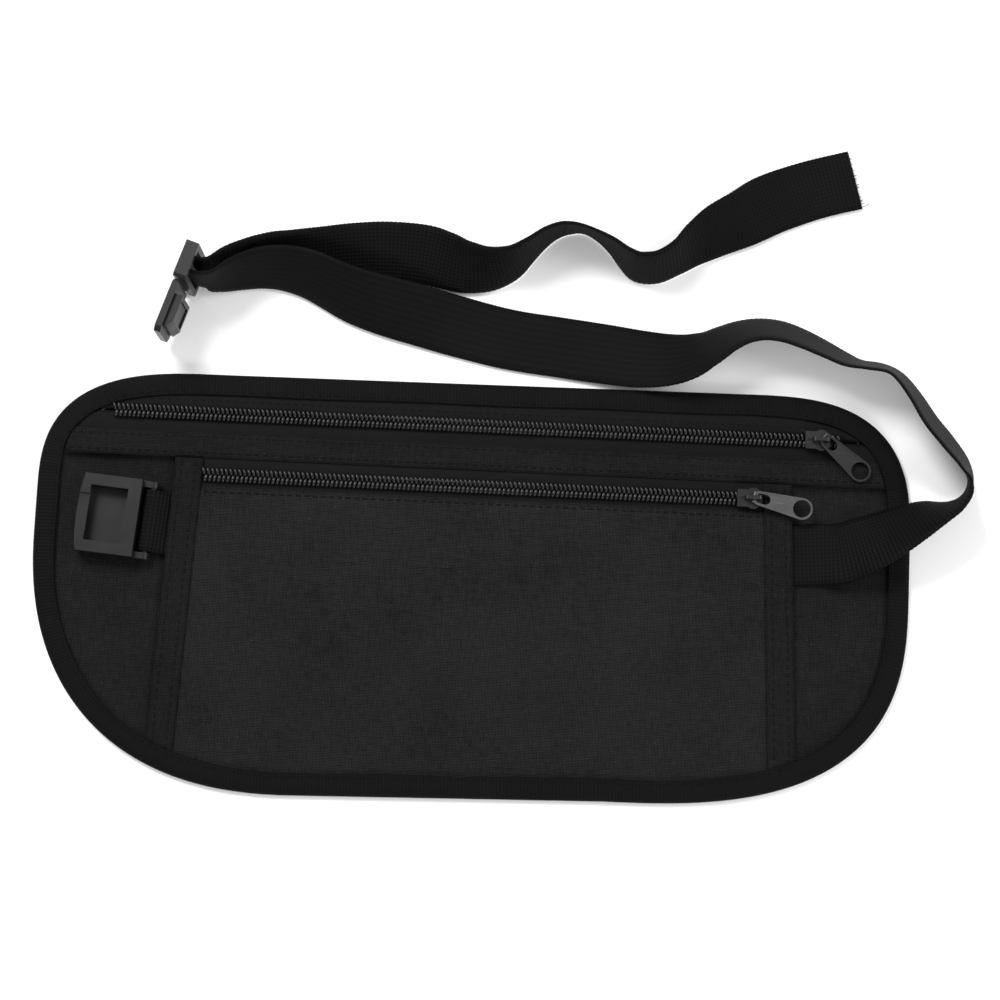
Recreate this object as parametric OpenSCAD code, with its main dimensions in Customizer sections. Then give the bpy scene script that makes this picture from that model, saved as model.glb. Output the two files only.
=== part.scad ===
// Flat zipped money belt lying on its back, with an elastic waist strap and a side-release buckle.
// +X runs along the zips, +Y towards the top edge, +Z out of the front face.
// The origin is on the outside of the back panel, under the middle of the pouch.

/* [Pouch] */
// Distance from the middle to the right-hand edge
half_right = 139.6; // [120:0.2:160]
// Distance from the middle to the left-hand edge
half_left = 141.7; // [120:0.1:160]
// Height of the top edge above the middle, at the right
edge_top = 68.5; // [60:0.1:75]
// How much lower the top edge is at the left
top_slope = 1.5; // [0:0.1:3]
// Depth of the bottom edge below the middle, at the left
edge_bottom = 67.3; // [58:0.1:75]
// How much higher the bottom edge is at the right
bottom_slope = 2.6; // [0:0.1:4]
// How square the corners are: 2 is a plain ellipse
corner_fullness = 2.8; // [2:0.05:3]
// Width of the binding tape seen from the front
binding_w = 7.2; // [6:0.1:7.6]

/* [Cloth] */
// Thickness of each panel
cloth_t = 0.5; // [0.4:0.05:0.6]
// Height of the front panel above the floor
front_z = 1.2; // [1.1:0.05:1.4]
// Width of the two upright bands beside the pocket
band_w = 9; // [8:0.5:10]
// Angle at which each upright band leans outwards towards the bottom
band_lean = 2.6; // [0:0.1:4]

/* [Zips] */
// Height of the main zip's chain above the middle
main_y = 53.8; // [53:0.1:54.2]
// Height of the pocket zip's chain above the middle
pocket_y = 33.8; // [33.4:0.1:34.2]
// Width of one half of the zip tape
tape_w = 11.3; // [10:0.1:11.5]
// Width of one coil of the chain
coil_w = 2.1; // [1.8:0.1:2.2]
// Height of the coil above its tape
coil_h = 1.5; // [1.3:0.1:1.6]
// Length of a slider
slider_l = 8; // [7:0.5:8.5]
// Width of a slider at its shoulders
slider_w = 6.8; // [6.2:0.1:7]
// Length of a pull from its bar to the middle of its large hole
pull_l = 15.7; // [13:0.1:18]
// Radius of the large hole in a pull
pull_hole_r = 2.85; // [2.2:0.05:2.9]
// Direction of the main pull in the plane of the pouch
main_pull_dir = -40; // [-45:1:0]
// Direction of the pocket pull in the plane of the pouch
pocket_pull_dir = -11; // [-20:1:5]

/* [Waist strap] */
// Width of the elastic webbing
strap_w = 20; // [18:1:20]
// Thickness of the elastic webbing
strap_t = 1.2; // [1:0.1:1.4]

/* [Buckle] */
// Thickness of the short webbing that holds the socket
web_t = 0.9; // [0.7:0.05:0.95]
// Length of the socket half without its arms
socket_l = 19.6; // [18:0.2:21]
// Width of the socket half
socket_w = 25; // [24:0.5:26]
// Thickness of the socket half
socket_h = 6.4; // [6.2:0.1:7]
// Height of the slot that takes the tongue
mouth_h = 4.4; // [4.3:0.1:4.6]
// Width of the plug half across its frame
frame_w = 26; // [24:0.5:27]
// Length of the tongue
tongue_l = 16.6; // [15:0.2:19]

/* [Hidden] */
$fn = 48;

black = [0.05, 0.05, 0.055];
soft_black = [0.09, 0.09, 0.095];
metal_grey = [0.35, 0.35, 0.36];
plastic_grey = [0.16, 0.16, 0.17];
gap = 0.3;

// Outline of the pouch, drawn in by d: four rounded corners joined by straight edges. Each corner is
// a quarter of a full ellipse, [direction x, direction y, edge x, edge y, reach x, reach y].
corner_steps = 26;
corners = [
    [1, 1, half_right, edge_top, 50, 46],
    [1, -1, half_right, edge_bottom - bottom_slope, 96, 70],
    [-1, -1, half_left, edge_bottom, 84, 82],
    [-1, 1, half_left, edge_top - top_slope, 55, 40]];
function corner_point(c, a, d) = let (n = c == corners[2] ? 2.35 : corner_fullness,
    u = pow(max(cos(a), 0), 2 / n), v = pow(max(sin(a), 0), 2 / n),
    nu = pow(u, n - 1) / c[4], nv = pow(v, n - 1) / c[5], m = norm([nu, nv]))
    [c[0] * (c[2] - c[4] + c[4] * u - d * nu / m), c[1] * (c[3] - c[5] + c[5] * v - d * nv / m)];
function quarter(k, d, a0, a1) =
    [for (i = [0 : corner_steps]) corner_point(corners[k], a0 + (a1 - a0) * i / corner_steps, d)];
function outline(d) = concat(quarter(0, d, 90, 0), quarter(1, d, 0, 90),
                             quarter(2, d, 90, 0), quarter(3, d, 0, 90));

binding_t = 0.45;
binding_top = 3.25;
inside_edge = binding_t + 0.4;

// A flat sheet cut to the pouch's outline between two heights on the page
module strip(y0, y1, d, x0 = -half_left, x1 = half_right) {
    intersection() {
        polygon(outline(d));
        translate([x0, y0]) square([x1 - x0, y1 - y0]);
    }
}

// A cloth sheet of even thickness whose height follows a list of [y, z] points
module draped(profile, t) {
    last = len(profile) - 1;
    top = [for (i = [last : -1 : 0]) [profile[i][0], profile[i][1] + t]];
    intersection() {
        rotate([90, 0, 90]) translate([0, 0, -half_left])
            linear_extrude(half_left + half_right) polygon(concat(profile, top));
        linear_extrude(12) children();
    }
}

module back_panel() {
    color(black) {
        linear_extrude(cloth_t) polygon(outline(binding_w + gap));
        translate([0, 0, cloth_t]) linear_extrude(cloth_t) difference() {
            polygon(outline(inside_edge));
            polygon(outline(binding_w + 0.9));
        }
    }
}

// Main zip levels
slider_plate_t = 0.6;
slide_gap = 0.2;
main_tape_z = 2 * cloth_t + 2 * slide_gap + slider_plate_t;
hem_z = main_tape_z + cloth_t;
band_bottom_y = 39.2;
hem_top_y = 47.4;
hem_step_y = 41.5;

module front_panel() {
    color(black) draped([[-edge_bottom, front_z], [band_bottom_y - 1, front_z],
        [hem_step_y, hem_z], [hem_top_y, hem_z]], cloth_t) union() {
            strip(-edge_bottom, band_bottom_y - 1, inside_edge);
            strip(band_bottom_y - 1.5, hem_top_y, binding_w + gap);
        }
}

// Pocket zip levels
pocket_tape_z = hem_z + cloth_t + 0.05;
pocket_top_y = 29.8;
pocket_flat_y = 22;
pocket_low_y = -44;
pocket_base_z = front_z + cloth_t;
pocket_hem_z = pocket_tape_z + cloth_t;
function pocket_profile(lift) = [[-edge_bottom, pocket_base_z + lift], [pocket_low_y, pocket_base_z + lift],
    [pocket_flat_y, pocket_hem_z + lift], [hem_top_y, pocket_hem_z + lift]];

// Side lines of the pocket: the band's inner edge at the zip, leaning out downwards
band_left_x = -88.6;
band_right_x = 91.8;
function left_line(y) = band_left_x - (pocket_y - y) * tan(band_lean);
function right_line(y) = band_right_x + (pocket_y - y) * tan(band_lean);
tuck = 2.2;

module pocket_panel() {
    color(soft_black) draped(pocket_profile(0), cloth_t) intersection() {
        strip(-edge_bottom, pocket_top_y, inside_edge);
        polygon([[left_line(-70) - tuck, -70], [right_line(-70) + tuck, -70],
            [right_line(60) + tuck, 60], [left_line(60) - tuck, 60]]);
    }
}

module hem_band() {
    color(black) translate([0, 0, pocket_tape_z + cloth_t])
        linear_extrude(cloth_t) strip(band_bottom_y, hem_top_y, binding_w + gap);
}

module left_band() {
    color(black) draped(pocket_profile(cloth_t), cloth_t) intersection() {
        strip(-edge_bottom, band_bottom_y - gap, inside_edge);
        polygon([[left_line(-70) - band_w, -70], [left_line(-70), -70],
            [left_line(60), 60], [left_line(60) - band_w, 60]]);
    }
}

module right_band() {
    color(black) draped(pocket_profile(cloth_t), cloth_t) intersection() {
        strip(-edge_bottom, band_bottom_y - gap, inside_edge);
        polygon([[right_line(-70), -70], [right_line(-70) + band_w, -70],
            [right_line(60) + band_w, 60], [right_line(60), 60]]);
    }
}

module edge_binding() {
    color(soft_black) difference() {
        linear_extrude(binding_top) polygon(outline(0));
        translate([0, 0, -1]) linear_extrude(binding_top + 2) polygon(outline(binding_w));
        translate([0, 0, binding_t])
            linear_extrude(binding_top - cloth_t - binding_t) polygon(outline(binding_t));
    }
}

// Zip parts. Each tape half starts just off the middle of its chain.
half_split = 0.1;
tape_split = 0.35;

module tape_half(y, z, side, d, x0, x1) {
    near = y + side * tape_split;
    far = y + side * tape_w;
    color(black) translate([0, 0, z])
        linear_extrude(cloth_t) strip(min(near, far), max(near, far), d, x0, x1);
}

module coil_half(y, z, side, x0, x1) {
    color(metal_grey) translate([x0, y + side * (half_split + coil_w / 2), z + cloth_t])
        rotate([90, 0, 90]) linear_extrude(x1 - x0) intersection() {
            translate([-coil_w / 2, 0]) square([coil_w, coil_h]);
            translate([0, coil_h / 2 - 0.05]) circle(d = coil_w + 0.35);
        }
}

main_coil_x0 = -118.4;
main_coil_x1 = 117.6;
pocket_coil_x0 = band_left_x + gap;
pocket_coil_x1 = band_right_x - gap;
pocket_tape_x0 = band_left_x - tuck;
pocket_tape_x1 = band_right_x + tuck;
hem_overlap = 10.7;

module main_tape_upper() {
    tape_half(main_y, main_tape_z, 1, inside_edge, -half_left, half_right);
}

module main_tape_lower() {
    tape_half(main_y, main_tape_z, -1, inside_edge, -half_left, half_right);
}

module main_coil_upper() {
    coil_half(main_y, main_tape_z, 1, main_coil_x0, main_coil_x1);
}

module main_coil_lower() {
    coil_half(main_y, main_tape_z, -1, main_coil_x0, main_coil_x1);
}

module pocket_tape_upper() {
    color(black) translate([pocket_tape_x0, pocket_y + tape_split, pocket_tape_z])
        cube([pocket_tape_x1 - pocket_tape_x0, hem_overlap - tape_split, cloth_t]);
}

module pocket_tape_lower() {
    color(black) translate([pocket_tape_x0, pocket_y - tape_w, pocket_tape_z])
        cube([pocket_tape_x1 - pocket_tape_x0, tape_w - tape_split, cloth_t]);
}

module pocket_coil_upper() {
    coil_half(pocket_y, pocket_tape_z, 1, pocket_coil_x0, pocket_coil_x1);
}

module pocket_coil_lower() {
    coil_half(pocket_y, pocket_tape_z, -1, pocket_coil_x0, pocket_coil_x1);
}

// Slider, drawn with its left end at x = 0 and the bottom of its lower plate at z = 0.
// Its bridge holds the pull's bar, which turns on the axis at [axis_x, 0, axis_z].
shoulder_x = 4.6;
nose_w = 4;
tail_w = 5.6;
cavity_h = cloth_t + coil_h + 2 * slide_gap;
cavity_w = 2 * (coil_w + half_split) + 0.5;
top_plate_t = 0.85;
body_h = slider_plate_t + cavity_h + top_plate_t;
axis_x = 5.2;
axis_up = 1;
axis_z = body_h + axis_up;
bridge_w = 1.2;
bridge_t = 0.75;
bridge_rise = axis_up + 1;
slot_l = 1.9;

module slider_outline() {
    polygon([[0, -tail_w / 2], [shoulder_x - 1.2, -tail_w / 2], [shoulder_x, -slider_w / 2],
        [shoulder_x + 1.2, -slider_w / 2], [slider_l, -nose_w / 2], [slider_l, nose_w / 2],
        [shoulder_x + 1.2, slider_w / 2], [shoulder_x, slider_w / 2],
        [shoulder_x - 1.2, tail_w / 2], [0, tail_w / 2]]);
}

module slider_body() {
    tape_slot_z = slider_plate_t;
    color(metal_grey) {
        difference() {
            linear_extrude(body_h) slider_outline();
            translate([-1, -cavity_w / 2, slider_plate_t]) cube([slider_l + 2, cavity_w, cavity_h]);
            for (side = [-1, 1])
                translate([-1, side > 0 ? cavity_w / 2 - 0.2 : -slider_w, tape_slot_z])
                    cube([slider_l + 2, slider_w - cavity_w / 2 + 0.2, cloth_t + 2 * slide_gap]);
            translate([0.7, -0.35, body_h - 0.35]) cube([slot_l, 0.7, 1]);
        }
        // A wedge between the two mouths joins the two plates
        translate([slider_l - 1.4, -0.04, slider_plate_t - 0.1])
            cube([1.2, 0.08, cavity_h + 0.2]);
        // Bridge: rear foot, front foot and the bar across them, with a rounded crown
        rotate([90, 0, 0]) translate([0, 0, -bridge_w / 2]) linear_extrude(bridge_w)
            difference() {
                translate([axis_x - 3, body_h - 0.2]) square([5.5, bridge_rise + bridge_t + 0.2]);
                translate([axis_x - 2.2, body_h]) square([3.7, bridge_rise]);
                translate([axis_x - 3.01, body_h + bridge_rise + bridge_t + 0.01])
                    mirror([0, 1]) difference() {
                        square([0.9, 0.9]);
                        translate([0.9, 0.9]) circle(0.9);
                    }
                translate([axis_x + 2.51, body_h + bridge_rise + bridge_t + 0.01])
                    rotate(180) difference() {
                        square([0.9, 0.9]);
                        translate([0.9, 0.9]) circle(0.9);
                    }
            }
    }
}

// Pull, drawn with its bar on the Y axis and its large hole towards +X
pull_t = 0.9;
rim_t = 1.2;
eye_r = 1.6;
ring_r = 2.3;
tip_r = 3.5;
rim_w = 0.55;
bar_x = 0.5;
bar_half = 1.75;

module pull_shape(shrink) {
    hull() {
        translate([ring_r - bar_x, 0]) circle(ring_r - shrink, $fn = 32);
        translate([pull_l, 0]) circle(tip_r - shrink, $fn = 32);
    }
}

module pull_blank() {
    color(metal_grey) {
        difference() {
            union() {
                translate([0, 0, -pull_t / 2]) linear_extrude(pull_t) pull_shape(0);
                translate([0, 0, -rim_t / 2]) linear_extrude(rim_t) difference() {
                    pull_shape(0);
                    pull_shape(rim_w);
                }
            }
            translate([pull_l, 0, -2]) cylinder(h = 4, r = pull_hole_r);
            translate([bar_x + eye_r, 0, -2]) cylinder(h = 4, r = eye_r);
            translate([bar_x + eye_r, -eye_r, -2]) cube([1.6, 2 * eye_r, 4]);
            translate([bar_x + eye_r + 1.6, 0, -2]) cylinder(h = 4, r = eye_r);
            // Room for the round bar that the pull hangs on
            translate([-2, -2 * eye_r, -2]) cube([2.1, 4 * eye_r, 4]);
        }
        rotate([90, 0, 0]) cylinder(h = 2 * bar_half, r = rim_t / 2, center = true);
    }
}

main_slider_x = 104.6;
main_slider_z = main_tape_z - slide_gap - slider_plate_t;
main_droop = 2.6;
main_shift = 0.7;
pocket_slider_x = 83.2;
pocket_slider_z = pocket_tape_z - slide_gap - slider_plate_t;
pocket_droop = 3.6;
pocket_shift = 0.2;

module main_slider() {
    translate([main_slider_x, main_y, main_slider_z]) slider_body();
}

module main_pull() {
    translate([main_slider_x + axis_x, main_y, main_slider_z + axis_z])
        rotate([0, 0, main_pull_dir]) translate([0, main_shift, 0]) rotate([0, main_droop, 0]) pull_blank();
}

module pocket_slider() {
    translate([pocket_slider_x, pocket_y, pocket_slider_z]) slider_body();
}

module pocket_pull() {
    translate([pocket_slider_x + axis_x, pocket_y, pocket_slider_z + axis_z])
        rotate([0, 0, pocket_pull_dir])
            translate([0, pocket_shift, 0])
                rotate([0, pocket_droop, 0]) pull_blank();
}

// Socket half of the buckle, drawn with its webbing bar on the Y axis and its mouth towards -X
socket_at = [-104.7, 17.9, front_z + cloth_t + 0.05];
socket_turn = -4.7;
socket_bar_r = 1.3;
loop_r = socket_bar_r + 0.25;
bar_up = loop_r + web_t;
socket_bottom = 0.25;
plate_x = -3.1;
arm_w = 2;
floor_t = 1.0;
roof_t = socket_h - floor_t - mouth_h;
mouth_w = 20;
window_l = 12;
window_w = 17.8;
window_x = plate_x - 4.1;
end_wall_t = 1.6;

module place_socket() {
    translate(socket_at) rotate([0, 0, socket_turn]) children();
}

module buckle_webbing() {
    leg = 10.3;
    join = 6;
    loop_out = loop_r + web_t;
    color(black) place_socket() rotate([90, 0, 0]) translate([0, 0, -strap_w / 2])
        linear_extrude(strap_w) difference() {
            union() {
                translate([0, bar_up]) circle(loop_out);
                square([leg, 2 * web_t]);
                polygon([[0, 0], [join, 0], [join, 2 * web_t], [0, bar_up + loop_out]]);
            }
            translate([0, bar_up]) circle(loop_r);
            polygon([[0, web_t], [join, web_t], [0, bar_up + loop_r]]);
        }
}

module socket_buckle() {
    end_x = plate_x - socket_l;
    bow_r = 60;
    color(plastic_grey) place_socket() {
        difference() {
            translate([0, 0, socket_bottom]) linear_extrude(socket_h) intersection() {
                translate([end_x - 1, -socket_w / 2]) square([socket_l + 1, socket_w]);
                translate([end_x + bow_r, 0]) circle(bow_r, $fn = 128);
            }
            // Mouth for the tongue
            translate([end_x - 1, -mouth_w / 2, socket_bottom + floor_t])
                cube([socket_l - end_wall_t + 1, mouth_w, mouth_h]);
            // Window for the button
            translate([window_x - window_l, -window_w / 2, socket_bottom + floor_t + mouth_h - 1])
                cube([window_l, window_w, roof_t + 3]);
            // Step for the fingertip round the front of the window
            translate([end_x - 1, -6, socket_bottom + socket_h - 0.6])
                cube([window_x - window_l - end_x + 1.5, 12, 2]);
        }
        for (side = [-1, 1])
            translate([0, side * (socket_w / 2 - arm_w / 2), 0]) rotate([90, 0, 0])
                translate([0, 0, -arm_w / 2]) linear_extrude(arm_w) {
                    translate([0, bar_up]) circle(1.9);
                    translate([plate_x - 0.5, bar_up - 1.9]) square([-plate_x + 0.5, 3.8]);
                }
        translate([0, 0, bar_up]) rotate([90, 0, 0])
            cylinder(h = socket_w - arm_w, r = socket_bar_r, center = true);
    }
}

// Plug half, drawn with its strap bar on the Y axis, its tongue towards +X and its button towards +Z
plug_at = [-95.2, 98.8, frame_w / 2 + 0.2];
plug_turn = -108;
plug_bar_r = 1.5;
frame_t = 4.2;
frame_out = 6.2;
frame_in = 6;
slot_w = 2.8;
slot_len = 2 * (strap_w / 2 + 0.4);
tongue_w = 19.4;
tongue_t = 2.2;
tongue_axis_x = 7.4;
tongue_axis_z = -1;
root_r = 1.1;
button_x = 3.2;
button_l = 10.8;
button_w = 17;
button_h = 2.6;

module place_plug() {
    translate(plug_at) rotate([0, 0, plug_turn]) rotate([-90, 0, 0]) children();
}

module plug_frame() {
    color(plastic_grey) place_plug() {
        difference() {
            translate([-frame_out, -frame_w / 2, -frame_t / 2])
                cube([frame_out + frame_in, frame_w, frame_t]);
            translate([-plug_bar_r - slot_w, -slot_len / 2, -5])
                cube([2 * (plug_bar_r + slot_w), slot_len, 10]);
            // The outer corners are cut back where the frame narrows to the tongue
            for (side = [-1, 1])
                translate([frame_in + 0.6, side * (frame_w / 2 + 0.6), 0])
                    rotate([0, 0, 45]) cube([3, 3, 10], center = true);
        }
        rotate([90, 0, 0]) cylinder(h = slot_len + 1, r = plug_bar_r, center = true);
    }
}

module plug_tongue() {
    color(plastic_grey) place_plug() translate([tongue_axis_x, 0, tongue_axis_z]) {
        rotate([90, 0, 0]) cylinder(h = tongue_w, r = root_r, center = true);
        difference() {
            translate([0, -tongue_w / 2, -root_r]) cube([tongue_l, tongue_w, tongue_t]);
            for (side = [-1, 1])
                translate([tongue_l, side * tongue_w / 2, 0])
                    rotate([0, 0, 45]) cube([2.4, 2.4, 6], center = true);
        }
        difference() {
            translate([button_x, -button_w / 2, tongue_t - root_r - 0.01])
                cube([button_l, button_w, button_h]);
            // Sloped nose that rides in under the rim of the socket
            translate([button_x + button_l, 0, tongue_t - root_r + button_h])
                rotate([0, 35, 0]) cube([3.4, button_w + 2, 2.4], center = true);
            // Dished face that the finger presses
            translate([button_x + 1.4, -button_w / 2 + 1.4, tongue_t - root_r + button_h - 0.5])
                cube([button_l - 4.2, button_w - 2.8, 2]);
        }
    }
}

// Waist strap: a ribbon swept along its middle line. Each point is [x, y, z, roll], and roll turns
// the ribbon's width from level, about its own run.
strap_out = [[94.8, 16.5, 2.4, 0], [102, 16.5, 2.4, 0], [110, 17, 2.7, -2], [117, 17.5, 4.8, -12],
    [124, 20, 8, -24], [131, 23.4, 10.4, -36], [138, 27.2, 11.8, -47], [145, 31, 12.4, -60],
    [151, 34, 11.8, -75], [155, 37.6, 10.9, -92], [156.5, 42.4, 10.2, -106], [154.5, 48, 9.9, -113],
    [149.5, 54.5, 9.7, -116], [144, 61, 9.7, -116], [139, 68.5, 9.8, -114], [134, 74.5, 9.9, -112],
    [129, 77.3, 10, -109], [122, 78.2, 10, -109], [116, 79.8, 9.8, -115], [109, 83, 9.6, -118],
    [102, 86, 9.4, -120], [95.5, 88, 9.3, -121], [89, 88.4, 9.3, -121], [83, 87.2, 9.2, -122],
    [77.5, 84.7, 8.9, -125], [72, 81.4, 8.2, -132], [66, 78.8, 6.6, -145], [59, 77.8, 4.7, -158],
    [50, 78.2, 2.7, -170], [38.5, 79.6, 1.2, -178], [24, 81.2, 0.9, -180], [8, 83, 0.9, -180],
    [-8, 86.2, 1.5, -184], [-21, 89, 3.5, -195], [-31, 91, 5.2, -205], [-41.5, 93.6, 6.7, -216],
    [-50, 96.8, 8, -226], [-58, 100, 8.7, -231], [-66, 101.4, 9.3, -237], [-73, 101, 9.9, -243],
    [-80, 99, 10.8, -251], [-85.5, 96.8, 12, -260], [-89.5, 95.5, 13, -268]];
strap_back = [[-89, 100.2, 13.1, -272], [-84, 101.9, 12.6, -283], [-79, 103.6, 11.6, -289],
    [-74, 105, 10.4, -295], [-69, 105.7, 9.5, -303], [-62, 106, 8.4, -312], [-53, 107, 7.5, -319],
    [-44, 108.3, 6.7, -325], [-35, 109.2, 6.1, -329], [-27, 109.3, 5.6, -331], [-20, 108.7, 5.6, -331],
    [-14, 107, 6.6, -324], [-7, 104.8, 8.3, -313], [0.5, 104.3, 9.3, -302], [7.5, 106.4, 10, -291],
    [13, 110.6, 10.5, -281], [18, 115, 10.7, -275], [22.5, 117.7, 10.7, -270], [26.5, 118.6, 10.7, -266],
    [30.5, 118.4, 10.7, -263], [35, 116.5, 10.7, -265], [40, 113.2, 10.7, -271], [44.5, 109.2, 10.6, -278],
    [49, 106.8, 10.4, -285], [55, 107.2, 10.2, -288], [61, 110.7, 10, -291], [66.5, 115.6, 9.2, -301],
    [73, 120.4, 7.9, -314], [82, 125.6, 6.1, -327], [91, 131.4, 3, -345], [101, 136, 1.2, -357],
    [109, 138.8, 0.9, -360], [119, 141.6, 0.9, -360]];

// The turn round the bar of the plug half
wrap_r = plug_bar_r + 0.25 + strap_t / 2;
wrap_steps = 8;
along = [cos(plug_turn), sin(plug_turn)];
across = [-sin(plug_turn), cos(plug_turn)];
function wrap_point(t, n) = [plug_at[0] + along[0] * t + across[0] * n,
    plug_at[1] + along[1] * t + across[1] * n, plug_at[2], -270];
strap_wrap = concat([wrap_point(wrap_r, 2.4)],
    [for (i = [0 : wrap_steps]) let (a = 180 * i / wrap_steps)
        wrap_point(wrap_r * cos(a), -wrap_r * sin(a))],
    [wrap_point(-wrap_r, 2.4)]);

function xyz(p) = [p[0], p[1], p[2]];
function unit(v) = v / norm(v);
function run(p, i) = unit(xyz(p[min(i + 1, len(p) - 1)]) - xyz(p[max(i - 1, 0)]));
function level(t) = unit([-t[1], t[0], 0]);
function wide(t, roll) = let (w = level(t) * cos(roll) + [0, 0, sin(roll)]) unit(w - (w * t) * t);
function ring(p, i) = let (t = run(p, i), w = wide(t, p[i][3]), n = cross(t, w), c = xyz(p[i]),
    a = w * strap_w / 2, b = n * strap_t / 2) [c - a - b, c + a - b, c + a + b, c - a + b];

module ribbon(p) {
    count = len(p);
    points = [for (i = [0 : count - 1]) each ring(p, i)];
    sides = [for (i = [0 : count - 2]) for (k = [0 : 3]) let (a = 4 * i + k, b = 4 * i + (k + 1) % 4)
        each k == 2 ? [[a, a + 4, b + 4], [a, b + 4, b]] : [[a, a + 4, b], [b, a + 4, b + 4]]];
    last = 4 * (count - 1);
    ends = [[0, 1, 2], [0, 2, 3], [last, last + 2, last + 1], [last, last + 3, last + 2]];
    polyhedron(points, concat(sides, ends));
}

module waist_strap() {
    color(black) ribbon(concat(strap_out, strap_wrap, strap_back));
}

back_panel();
front_panel();
pocket_panel();
hem_band();
left_band();
right_band();
edge_binding();
main_tape_upper();
main_tape_lower();
main_coil_upper();
main_coil_lower();
pocket_tape_upper();
pocket_tape_lower();
pocket_coil_upper();
pocket_coil_lower();
main_slider();
main_pull();
pocket_slider();
pocket_pull();
buckle_webbing();
socket_buckle();
waist_strap();
plug_frame();
plug_tongue();
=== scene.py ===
import math
import random
import bpy
import numpy as np
from mathutils import Matrix, Vector


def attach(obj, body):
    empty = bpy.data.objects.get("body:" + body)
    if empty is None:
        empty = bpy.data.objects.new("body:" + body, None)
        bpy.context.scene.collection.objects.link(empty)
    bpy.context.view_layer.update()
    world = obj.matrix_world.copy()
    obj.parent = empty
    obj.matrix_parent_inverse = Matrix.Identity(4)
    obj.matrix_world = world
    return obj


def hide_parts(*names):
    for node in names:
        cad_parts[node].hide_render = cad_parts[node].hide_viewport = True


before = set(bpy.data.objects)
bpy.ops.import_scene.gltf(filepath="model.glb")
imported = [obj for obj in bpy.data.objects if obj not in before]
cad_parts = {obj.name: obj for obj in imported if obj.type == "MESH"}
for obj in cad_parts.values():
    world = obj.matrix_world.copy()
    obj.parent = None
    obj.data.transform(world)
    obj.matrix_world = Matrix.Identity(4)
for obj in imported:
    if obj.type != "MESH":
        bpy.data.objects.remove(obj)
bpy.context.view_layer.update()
MM = 0.001
rng = random.Random(7)

# ---------------------------------------------------------------- numbers repeated from part.scad, in mm
CORNERS = [(1, 1, 139.6, 68.5, 50, 46, 2.8), (1, -1, 139.6, 64.7, 96, 70, 2.8),
           (-1, -1, 141.7, 67.3, 84, 82, 2.35), (-1, 1, 141.7, 67.0, 55, 40, 2.8)]
TOP, BOTTOM = 68.5, 67.3
BIND_W, BIND_TOP, CLOTH = 7.2, 3.25, 0.5
FRONT_Z, MAIN_TAPE_Z, POCKET_TAPE_Z = 1.2, 2.0, 3.05
HEM_Z = POCKET_TAPE_Z + CLOTH
MAIN_Y, POCKET_Y = 53.8, 33.8
LEAN = math.tan(math.radians(2.6))
SOCKET_AT, SOCKET_TURN, BAR_UP = (-104.7, 17.9, 1.75), -4.7, 2.45
PLUG_AT, PLUG_TURN = (-95.2, 98.8, 13.2), -108.0

STRAP_OUT = [[94.8, 16.5, 2.4, 0], [102, 16.5, 2.4, 0], [110, 17, 2.7, -2], [117, 17.5, 4.8, -12],
    [124, 20, 8, -24], [131, 23.4, 10.4, -36], [138, 27.2, 11.8, -47], [145, 31, 12.4, -60],
    [151, 34, 11.8, -75], [155, 37.6, 10.9, -92], [156.5, 42.4, 10.2, -106], [154.5, 48, 9.9, -113],
    [149.5, 54.5, 9.7, -116], [144, 61, 9.7, -116], [139, 68.5, 9.8, -114], [134, 74.5, 9.9, -112],
    [129, 77.3, 10, -109], [122, 78.2, 10, -109], [116, 79.8, 9.8, -115], [109, 83, 9.6, -118],
    [102, 86, 9.4, -120], [95.5, 88, 9.3, -121], [89, 88.4, 9.3, -121], [83, 87.2, 9.2, -122],
    [77.5, 84.7, 8.9, -125], [72, 81.4, 8.2, -132], [66, 78.8, 6.6, -145], [59, 77.8, 4.7, -158],
    [50, 78.2, 2.7, -170], [38.5, 79.6, 1.2, -178], [24, 81.2, 0.9, -180], [8, 83, 0.9, -180],
    [-8, 86.2, 1.5, -184], [-21, 89, 3.5, -195], [-31, 91, 5.2, -205], [-41.5, 93.6, 6.7, -216],
    [-50, 96.8, 8, -226], [-58, 100, 8.7, -231], [-66, 101.4, 9.3, -237], [-73, 101, 9.9, -243],
    [-80, 99, 10.8, -251], [-85.5, 96.8, 12, -260], [-89.5, 95.5, 13, -268]]
STRAP_BACK = [[-89, 100.2, 13.1, -272], [-84, 101.9, 12.6, -283], [-79, 103.6, 11.6, -289],
    [-74, 105, 10.4, -295], [-69, 105.7, 9.5, -303], [-62, 106, 8.4, -312], [-53, 107, 7.5, -319],
    [-44, 108.3, 6.7, -325], [-35, 109.2, 6.1, -329], [-27, 109.3, 5.6, -331], [-20, 108.7, 5.6, -331],
    [-14, 107, 6.6, -324], [-7, 104.8, 8.3, -313], [0.5, 104.3, 9.3, -302], [7.5, 106.4, 10, -291],
    [13, 110.6, 10.5, -281], [18, 115, 10.7, -275], [22.5, 117.7, 10.7, -270], [26.5, 118.6, 10.7, -266],
    [30.5, 118.4, 10.7, -263], [35, 116.5, 10.7, -265], [40, 113.2, 10.7, -271], [44.5, 109.2, 10.6, -278],
    [49, 106.8, 10.4, -285], [55, 107.2, 10.2, -288], [61, 110.7, 10, -291], [66.5, 115.6, 9.2, -301],
    [73, 120.4, 7.9, -314], [82, 125.6, 6.1, -327], [91, 131.4, 3, -345], [101, 136, 1.2, -357],
    [109, 138.8, 0.9, -360], [119, 141.6, 0.9, -360]]


# ---------------------------------------------------------------- camera, floor and lights
CAMERA_AT = Vector((7.3, -75.6, 753.9))
CAMERA_RIGHT = Vector((0.999, 0.0449, 0.0063))
CAMERA_FORWARD = Vector((0, 0.1392, -0.9903))
FLOOR_GREY = 0.86
FLOOR_HALF = 6


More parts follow.
